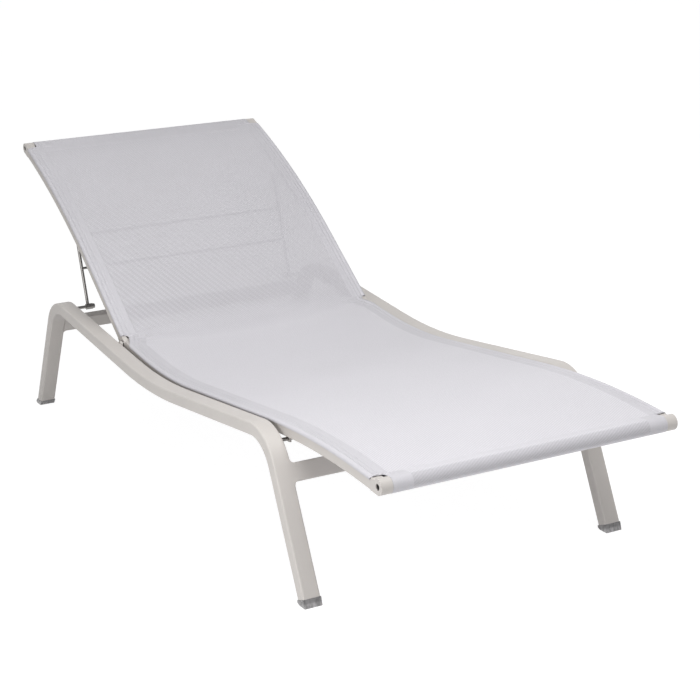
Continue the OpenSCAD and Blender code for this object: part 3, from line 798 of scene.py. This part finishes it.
class SlingShape:
    """Where each point of the cloth lies, from s along the flat cut and y across it."""

    def __init__(self, sling):
        self.sling = sling
        self.line = SlingLine(sling)
        outer = -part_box("seat_rail_near")[0][1]
        self.flat = outer + CLEAR + sling.thickness / 2 - sling.edge_radius
        self.half_width = self.flat + sling.edge_radius * math.pi / 2 + sling.edge_drop
        self.end_half_width = -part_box("foot_tube")[0][1] - CLEAR

    def half(self, s):
        """Half the cloth's width at s, with the cuts at the castings and the hinge notches."""
        sl, line = self.sling, self.line
        head_cut = line.head_top + CORNER_CASTING + CUT_AIR
        foot_cut = line.foot_top - CORNER_CASTING + CUT_AIR
        inner = 1 - soft_step(s, head_cut - CUT_SLOPE, head_cut) * (
            1 - soft_step(s, foot_cut, foot_cut + CUT_SLOPE)
        )
        wide = self.half_width + (self.end_half_width - self.half_width) * inner
        d = s - line.fold
        steep, round_off = NOTCH_BACK_CURVE
        back = (1 - np.clip(-d / sl.notch_back, 0, 1) ** steep) ** round_off
        seat = (1 - np.clip(d / sl.notch_seat, 0, 1)) ** NOTCH_SEAT_CURVE
        return wide - sl.notch_depth * np.where(d < 0, back, seat)

    def place(self, s, y, e):
        """Points in metres for arrays of s, y and e alike, e being the distance from the edge."""
        sl, line = self.sling, self.line
        middle = 1 - np.clip(np.abs(y) / self.flat, 0, 1) ** FOLD_CURVE
        fold = sl.bridge_edge + (sl.bridge_middle - sl.bridge_edge) * middle
        near = np.abs(s - line.fold) < fold + FOLD_MARGIN
        reach = np.where(near, fold, ROUNDING)
        x, z = line.smooth(s, reach)
        ax, az = line.smooth(s - HALF_STEP, reach)
        bx, bz = line.smooth(s + HALF_STEP, reach)
        dx, dz = bx - ax, bz - az
        size = np.hypot(dx, dz)
        nx, nz = -dz / size, dx / size
        over = np.maximum(np.abs(y) - self.flat, 0)
        turn = np.minimum(over / sl.edge_radius, math.pi / 2)
        down = np.maximum(over - sl.edge_radius * math.pi / 2, 0)
        out = np.minimum(np.abs(y), self.flat) + sl.edge_radius * np.sin(turn)
        relief = self.relief(s, y, e)
        lift = relief * np.cos(turn) - sl.edge_radius * (1 - np.cos(turn)) - down
        side = np.sign(y) * (out + relief * np.sin(turn))
        return np.stack([x + nx * lift + HINGE[0], side, z + nz * lift], axis=-1)

    def relief(self, s, y, e):
        """Height of the bead, the seams, the doubled hem, the lip and the creases at the notches."""
        sl, line = self.sling, self.line
        web = soft_step(s, line.head_top + 0.004, line.head_top + 0.012) * (
            1 - soft_step(s, line.foot_top - 0.012, line.foot_top - 0.004)
        )
        height, half = BEAD_RELIEF
        lift = height * ridge(e, BEAD, half)
        for groove in SEAMS:
            depth, half = GROOVE_RELIEF
            lift = lift - depth * ridge(e, groove, half)
            height, half = RIDGE_RELIEF
            lift = lift + height * ridge(e, groove + RIDGE_INSIDE, half)
        height, half = HEM_RELIEF
        lift = lift + height * (1 - soft_step(e, sl.hem - half, sl.hem + half))
        d = s - line.fold
        inward = self.half_width - sl.notch_depth - np.abs(y)
        r = np.hypot(d - CREASE_START, inward)
        angle = np.arctan2(inward, d - CREASE_START)
        fade = np.exp(-((r / CREASE_REACH) ** 2)) * soft_step(r, 0.004, 0.018)
        creases = np.cos(angle * CREASE_COUNT + CREASE_TURN) * soft_step(angle, 0.0, 0.3)
        creases = creases * (1 - soft_step(angle, 1.6, 2.4))
        along, across = (d - LIP_MIDDLE) / LIP_REACH[0], inward / LIP_REACH[1]
        lip = sl.notch_lift * np.exp(-(along**2) - (across**2))
        return (lift + CREASE_HEIGHT * fade * creases) * web + lip


def spaced(a, b, step):
    """Values from a up to but not at b, as close to step apart as fits."""
    return np.linspace(a, b, max(2, int(round((b - a) / step)) + 1))[:-1]


def sling_rows(line):
    """Where the cloth's rows lie: close at the tubes, the cuts and the fold.

    Each stop gives a start, an end and the distance between rows."""
    head, fold, foot, end = line.head_top, line.fold, line.foot_top, line.length
    stops = [
        (0.0, 0.02, 0.004),
        (0.02, head + 0.018, 0.0025),
        (head + 0.018, head + 0.034, 0.001),
        (head + 0.034, fold - 0.11, 0.0105),
        (fold - 0.11, fold - 0.03, 0.0045),
        (fold - 0.03, fold - 0.015, 0.0015),
        (fold - 0.015, fold + 0.004, 0.0008),
        (fold + 0.004, fold + 0.07, 0.0021),
        (fold + 0.07, fold + 0.12, 0.0045),
        (fold + 0.12, foot - 0.036, 0.0105),
        (foot - 0.036, foot - 0.018, 0.001),
        (foot - 0.018, end - 0.02, 0.0025),
        (end - 0.02, end, 0.004),
    ]
    return np.concatenate([*(spaced(*stop) for stop in stops), [end]])


def sling_columns(hem):
    """Distances from the edge of the columns of one side, closest at the turn and the seams."""
    fine = [0.0, 0.0008, 0.0016, 0.0024, 0.0032, 0.004, 0.0048, 0.0056, 0.0064]
    fine += [0.0073, 0.0083, 0.0094, 0.0105, 0.0117]
    for groove in SEAMS:
        fine += [groove + x for x in (-0.0016, -0.0006, 0.0006, 0.0018, 0.0032, 0.0048)]
    fine += [0.032, 0.037, hem - 0.0014, hem, hem + 0.0014, hem + 0.006]
    return np.array(sorted(fine))


def grid_mesh(name, points, uvs, edge):
    """A sheet mesh from a grid of points, with its flat cut as UV map and its edge distance."""
    rows, cols = points.shape[:2]
    index = np.arange(rows * cols).reshape(rows, cols)
    faces = np.stack([index[:-1, :-1], index[:-1, 1:], index[1:, 1:], index[1:, :-1]], axis=-1)
    faces = faces.reshape(-1, 4)
    mesh = bpy.data.meshes.new(name)
    mesh.from_pydata(points.reshape(-1, 3).tolist(), [], faces.tolist())
    layer = mesh.uv_layers.new(name="flat")
    layer.data.foreach_set("uv", uvs.reshape(-1, 2)[faces.ravel()].ravel().astype(np.float32))
    store = mesh.attributes.new("edge", "FLOAT", "POINT")
    store.data.foreach_set("value", edge.ravel().astype(np.float32))
    mesh.polygons.foreach_set("use_smooth", np.ones(len(faces), bool))
    mesh.update()
    obj = bpy.data.objects.new(name, mesh)
    bpy.context.collection.objects.link(obj)
    return obj


def apply_modifiers(obj):
    """Applies a piece's modifiers, so that its mesh is final."""
    deselect()
    obj.select_set(True)
    bpy.context.view_layer.objects.active = obj
    for modifier in list(obj.modifiers):
        bpy.ops.object.modifier_apply(modifier=modifier.name)
    deselect()


def across_hinge(obj):
    """Puts the piece's place into its mesh and leaves its object at the origin."""
    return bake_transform(obj)


# Operators


class LOUNGER_OT_stage(bpy.types.Operator):
    """Make the camera, the soft lights, the white room and the floor"""

    bl_idname = "lounger.stage"
    bl_label = "Stage"

    def execute(self, context):
        stage = context.scene.lounger_stage
        camera = bpy.data.objects.new("camera", bpy.data.cameras.new("camera"))
        context.scene.collection.objects.link(camera)
        camera.data.lens = stage.lens
        camera.data.sensor_width = SENSOR
        right, forward = Vector(CAMERA_RIGHT), Vector(CAMERA_FORWARD)
        forward.normalize()
        right = (right - forward * right.dot(forward)).normalized()
        up = right.cross(forward)
        turn = Matrix((right, up, -forward)).transposed().to_4x4()
        camera.matrix_world = Matrix.Translation(CAMERA_PLACE) @ turn
        camera.data.clip_end = 200
        context.scene.camera = camera

        for name, power, size, place, aim in (
            ("overhead", stage.key_power, 2.4, (1.15, -0.3, 2.6), (0.9, 0.0, 0.2)),
            ("front", stage.front_power, 2.2, (3.4, -0.6, 0.9), (0.5, 0.0, 0.2)),
            ("side", stage.side_power, 1.4, (1.1, -2.1, 0.7), (0.4, 0.0, 0.2)),
        ):
            light = bpy.data.objects.new(name, bpy.data.lights.new(name, "AREA"))
            light.data.shape = "DISK"
            light.data.size = size
            light.data.energy = power
            light.location = place
            light.rotation_mode = "QUATERNION"
            light.rotation_quaternion = (Vector(aim) - Vector(place)).to_track_quat("-Z", "Y")
            context.scene.collection.objects.link(light)

        world = bpy.data.worlds.new("white_room")
        context.scene.world = world
        world.use_nodes = True
        nodes, links = world.node_tree.nodes, world.node_tree.links
        room = nodes["Background"]
        room.inputs["Color"].default_value = (1, 1, 1, 1)
        room.inputs["Strength"].default_value = stage.ambient
        seen = nodes.new("ShaderNodeBackground")
        seen.inputs["Color"].default_value = (1, 1, 1, 1)
        share = nodes.new("ShaderNodeMixShader")
        links.new(seen_ray(nodes, links), share.inputs["Fac"])
        links.new(room.outputs[0], share.inputs[1])
        links.new(seen.outputs[0], share.inputs[2])
        links.new(share.outputs[0], nodes["World Output"].inputs["Surface"])

        deselect()
        bpy.ops.mesh.primitive_plane_add(size=FLOOR_SIZE, location=(0, 0, 0))
        floor = context.object
        floor.name = "studio_floor"
        t = Tree("studio_floor")
        soft = t.span(t.noise(t.place(), 0.7, 2), 0.4, 0.6, 0, 1)
        tone = t.mix(soft, (0.86, 0.86, 0.86, 1), (0.88, 0.88, 0.88, 1))
        t.set(Base_Color=tone, Roughness=0.9, Specular_IOR_Level=0.1)
        light_up = t.add("ShaderNodeEmission")
        light_up.inputs["Strength"].default_value = FLOOR_GLOW
        blend = t.add("ShaderNodeMixShader")
        seen = t.math("MULTIPLY", seen_ray(t.nodes, t.links), FLOOR_SHARE)
        t.plug(seen, blend.inputs["Fac"])
        t.links.new(t.shader.outputs[0], blend.inputs[1])
        t.links.new(light_up.outputs[0], blend.inputs[2])
        t.links.new(blend.outputs[0], t.nodes["Material Output"].inputs["Surface"])
        floor.data.materials.append(t.material)
        context.scene.view_settings.view_transform = "Standard"
        return {"FINISHED"}


def seen_ray(nodes, links):
    """1 for rays from the camera, or by way of metal and glass."""
    path = nodes.new("ShaderNodeLightPath")
    total = path.outputs["Is Camera Ray"]
    for name in ("Is Glossy Ray", "Is Transmission Ray"):
        node = nodes.new("ShaderNodeMath")
        node.operation = "MAXIMUM"
        links.new(total, node.inputs[0])
        links.new(path.outputs[name], node.inputs[1])
        total = node.outputs[0]
    return total


class LOUNGER_OT_finishes(bpy.types.Operator):
    """Give every carried-over frame part its finish"""

    bl_idname = "lounger.finishes"
    bl_label = "Finishes"

    def execute(self, context):
        colours = context.scene.lounger_finish
        paint = powder_coat(colours.paint)
        across = stainless("stainless_across", colours.steel, (1, 0.04, 1))
        upright = stainless("stainless_upright", colours.steel, (1, 1, 0.05))
        # Painted shade: the bolts' steel is darkened to a fifth, for their dark sockets
        bolt = stainless("bolt_painted_dark", [c * 0.2 for c in colours.steel], (1, 0.3, 1))
        ends = {
            end: smoky_plastic(f"smoky_glide_{end}", colours.glide, top)
            for end, top in GLIDE_TOP.items()
        }
        cord = Tree("edge_cord")
        fibre = cord.noise(cord.place(), 900, 2)
        cord.set(
            Base_Color=cord.mix(fibre, shade(colours.cloth, 0.85), shade(colours.cloth, 1.0)),
            Roughness=0.6,
            Normal=cord.bump(fibre, 0.3, 0.0002),
        )
        for name, node in NODES.items():
            if "keder" in name:
                material = cord.material
            elif "glide" in name:
                material = ends["front" if "front" in name else "rear"]
            elif name.startswith("prop_leg"):
                material = upright
            elif name.startswith("prop_") or name in STEEL_ACROSS:
                material = across
            elif name in ("foot_bolts", "head_bolts"):
                material = bolt
            else:
                material = paint
            for slot in node.material_slots:
                slot.material = material
        return {"FINISHED"}


class LOUNGER_OT_sling(bpy.types.Operator):
    """Sew the sling: one taut sheet from the head tube to the foot tube"""

    bl_idname = "lounger.sling"
    bl_label = "Sling"

    def execute(self, context):
        sling = context.scene.lounger_sling
        shape = SlingShape(sling)
        rows = sling_rows(shape.line)
        side = sling_columns(sling.hem)
        half = shape.half(rows)
        inner = half - side[-1]
        middle = np.linspace(-1, 1, 27)[1:-1]
        y = np.concatenate(
            [
                -(half[:, None] - side[None, :]),
                inner[:, None] * middle[None, :],
                half[:, None] - side[None, ::-1],
            ],
            axis=1,
        )
        s = np.repeat(rows[:, None], y.shape[1], axis=1)
        e = half[:, None] - np.abs(y)
        points = shape.place(s, y, e)
        uvs = np.stack([y, s], axis=-1)
        cloth = grid_mesh("sling_cloth", points, uvs, e)
        solid = cloth.modifiers.new("thickness", "SOLIDIFY")
        solid.thickness = sling.thickness
        solid.offset = 0
        solid.use_even_offset = True
        apply_modifiers(cloth)
        colour = context.scene.lounger_finish.cloth
        weave = sling_weave("sling_weave", colour, sling.thread_pitch, sling.hem, shape.line)
        finish_piece(cloth, "sling_cloth", weave)
        across_hinge(cloth)
        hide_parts("seat_cloth", "back_cloth")
        return {"FINISHED"}


class LOUNGER_OT_welds(bpy.types.Operator):
    """Model the weld fillets where the crossbars meet the legs"""

    bl_idname = "lounger.welds"
    bl_label = "Welds"

    def execute(self, context):
        weld = context.scene.lounger_weld
        leg = -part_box("crossbar_front")[0][1]
        for bar, lean, radius, sink in (
            ("front", -weld.front_lean, weld.front_radius, weld.sink),
            ("rear", weld.rear_lean, weld.rear_radius, CLEAR),
        ):
            lo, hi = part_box(f"crossbar_{bar}")
            middle = Vector(((lo[0] + hi[0]) / 2, 0, (lo[2] + hi[2]) / 2))
            for side, sign in (("near", -1), ("far", 1)):
                fillet = weld_fillet(weld, radius, sink)
                fillet.scale = (1, sign, 1)
                fillet.rotation_euler = (0, lean, 0)
                fillet.location = middle + Vector((0, sign * (leg - radius), 0))
                bpy.context.view_layer.update()
                outward(settle(fillet))
                name = f"weld_{bar}_{side}"
                finish_piece(fillet, name, bpy.data.materials["powder_coat"])
                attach(fillet, "frame")
        return {"FINISHED"}


def weld_fillet(weld, radius, sink):
    """A block on the bar's section that flares along Y to the leg's face, flush at its front."""
    deselect()
    bpy.ops.mesh.primitive_cube_add(size=1, location=(0, 0, 0))
    block = bpy.context.object
    block.scale = (weld.bar_thickness, FILLET_START, weld.bar_width)
    bpy.ops.object.transform_apply(location=False, rotation=False, scale=True)
    bpy.ops.object.mode_set(mode="EDIT")
    bpy.ops.mesh.select_mode(type="FACE")
    bpy.ops.mesh.select_all(action="DESELECT")
    work = bmesh.from_edit_mesh(block.data)
    for face in work.faces:
        face.select = face.normal.y > 0.5
    bmesh.update_edit_mesh(block.data)
    front = (weld.bar_thickness / 2, 0, 0)
    thick, wide, reach = weld.bar_thickness, weld.bar_width, 0.0
    for k in range(1, FILLET_STEPS + 1):
        turn = math.pi / 2 * k / FILLET_STEPS
        grow = radius * (1 - math.cos(turn))
        forward = radius * math.sin(turn) - reach
        bpy.ops.mesh.extrude_region_move(TRANSFORM_OT_translate={"value": (0, forward, 0)})
        factors = (
            (weld.bar_thickness + grow) / thick,
            1,
            (weld.bar_width + 2 * grow) / wide,
        )
        bpy.ops.transform.resize(value=factors, center_override=front)
        thick, wide, reach = weld.bar_thickness + grow, weld.bar_width + 2 * grow, reach + forward
    bpy.ops.mesh.extrude_region_move(TRANSFORM_OT_translate={"value": (0, sink, 0)})
    bpy.ops.mesh.select_all(action="SELECT")
    bpy.ops.transform.resize(value=(FILLET_SWELL, 1, FILLET_SWELL))
    bpy.ops.object.mode_set(mode="OBJECT")
    bpy.ops.object.shade_smooth_by_angle(angle=FILLET_SMOOTH)
    return block


def seam_points(shape, e, side, low, high, step):
    """Points of a seam at distance e from one edge, in the middle of the cloth."""
    s = np.arange(low, high, step)
    y = side * (shape.half(s) - e)
    return shape.place(s, y, np.full_like(s, e))


class LOUNGER_OT_stitches(bpy.types.Operator):
    """Sew the rows of stitches along the edges and across the head hem"""

    bl_idname = "lounger.stitches"
    bl_label = "Stitches"

    def execute(self, context):
        sling = context.scene.lounger_sling
        shape = SlingShape(sling)
        line = shape.line
        rows = []
        low, high = line.head_top + SEAM_ENDS, line.foot_top - SEAM_ENDS
        for e in SEAMS:
            for side in (-1, 1):
                rows.append(seam_points(shape, e, side, low, high, sling.stitch))
        for back in HEM_ROWS:
            y = np.arange(-HEM_ROW_HALF, HEM_ROW_HALF, sling.stitch)
            s = np.full_like(y, line.head_top + HEAD_HEM - back)
            rows.append(shape.place(s, y, np.full_like(y, INSIDE)))
        rows = [row + np.array([0, 0, sling.thickness / 2 + STITCH_LIFT]) for row in rows]
        stitches = [row_of_stitches(row, sling.stitch) for row in rows]
        deselect()
        for stitch in stitches:
            stitch.select_set(True)
        bpy.context.view_layer.objects.active = stitches[0]
        bpy.ops.object.join()
        thread = sewing_thread(context.scene.lounger_finish.cloth)
        finish_piece(stitches[0], "sling_stitches", thread)
        across_hinge(stitches[0])
        return {"FINISHED"}


def row_of_stitches(points, length):
    """One small loop of thread at each point, each turned along the row."""
    deselect()
    bpy.ops.mesh.primitive_uv_sphere_add(segments=6, ring_count=4, radius=1)
    first = bpy.context.object
    first.scale = (length * STITCH_SHARE, *STITCH_HALF)
    bpy.ops.object.transform_apply(location=False, rotation=False, scale=True)
    shape = np.array([v.co for v in first.data.vertices])
    faces = [list(p.vertices) for p in first.data.polygons]
    ahead = np.gradient(points, axis=0)
    ahead /= np.linalg.norm(ahead, axis=1)[:, None]
    aside = np.cross([0, 0, 1.0], ahead)
    aside /= np.linalg.norm(aside, axis=1)[:, None]
    up = np.cross(ahead, aside)
    turned = np.einsum("vk,rkx->rvx", shape, np.stack([ahead, aside, up], axis=1))
    verts = (turned + points[:, None, :]).reshape(-1, 3)
    count = len(shape)
    mesh = bpy.data.meshes.new("stitches")
    many = [[i + r * count for i in face] for r in range(len(points)) for face in faces]
    mesh.from_pydata(verts.tolist(), [], many)
    old, first.data = first.data, mesh
    bpy.data.meshes.remove(old)
    return first


class LOUNGER_PT_sidebar(bpy.types.Panel):
    """The lounger's pieces and settings"""

    bl_label = "Sun Lounger"
    bl_idname = "LOUNGER_PT_sidebar"
    bl_space_type = "VIEW_3D"
    bl_region_type = "UI"
    bl_category = "Lounger"

    def draw(self, context):
        layout = self.layout
        for operator in OPERATORS:
            layout.operator(operator.bl_idname)
        for group in (
            context.scene.lounger_sling,
            context.scene.lounger_weld,
            context.scene.lounger_finish,
            context.scene.lounger_stage,
        ):
            box = layout.box()
            for name in group.__annotations__:
                box.prop(group, name)


OPERATORS = (
    LOUNGER_OT_stage,
    LOUNGER_OT_finishes,
    LOUNGER_OT_sling,
    LOUNGER_OT_stitches,
    LOUNGER_OT_welds,
)
CLASSES = (
    LoungerSling,
    LoungerWeld,
    LoungerFinish,
    LoungerStage,
    *OPERATORS,
    LOUNGER_PT_sidebar,
)


def register():
    for cls in CLASSES:
        bpy.utils.register_class(cls)
    bpy.types.Scene.lounger_sling = PointerProperty(type=LoungerSling)
    bpy.types.Scene.lounger_weld = PointerProperty(type=LoungerWeld)
    bpy.types.Scene.lounger_finish = PointerProperty(type=LoungerFinish)
    bpy.types.Scene.lounger_stage = PointerProperty(type=LoungerStage)


def unregister():
    for name in ("lounger_sling", "lounger_weld", "lounger_finish", "lounger_stage"):
        delattr(bpy.types.Scene, name)
    for cls in reversed(CLASSES):
        bpy.utils.unregister_class(cls)


def main():
    register()
    for operator in OPERATORS:
        area, name = operator.bl_idname.split(".")
        getattr(getattr(bpy.ops, area), name)()


if __name__ == "__main__":
    main()
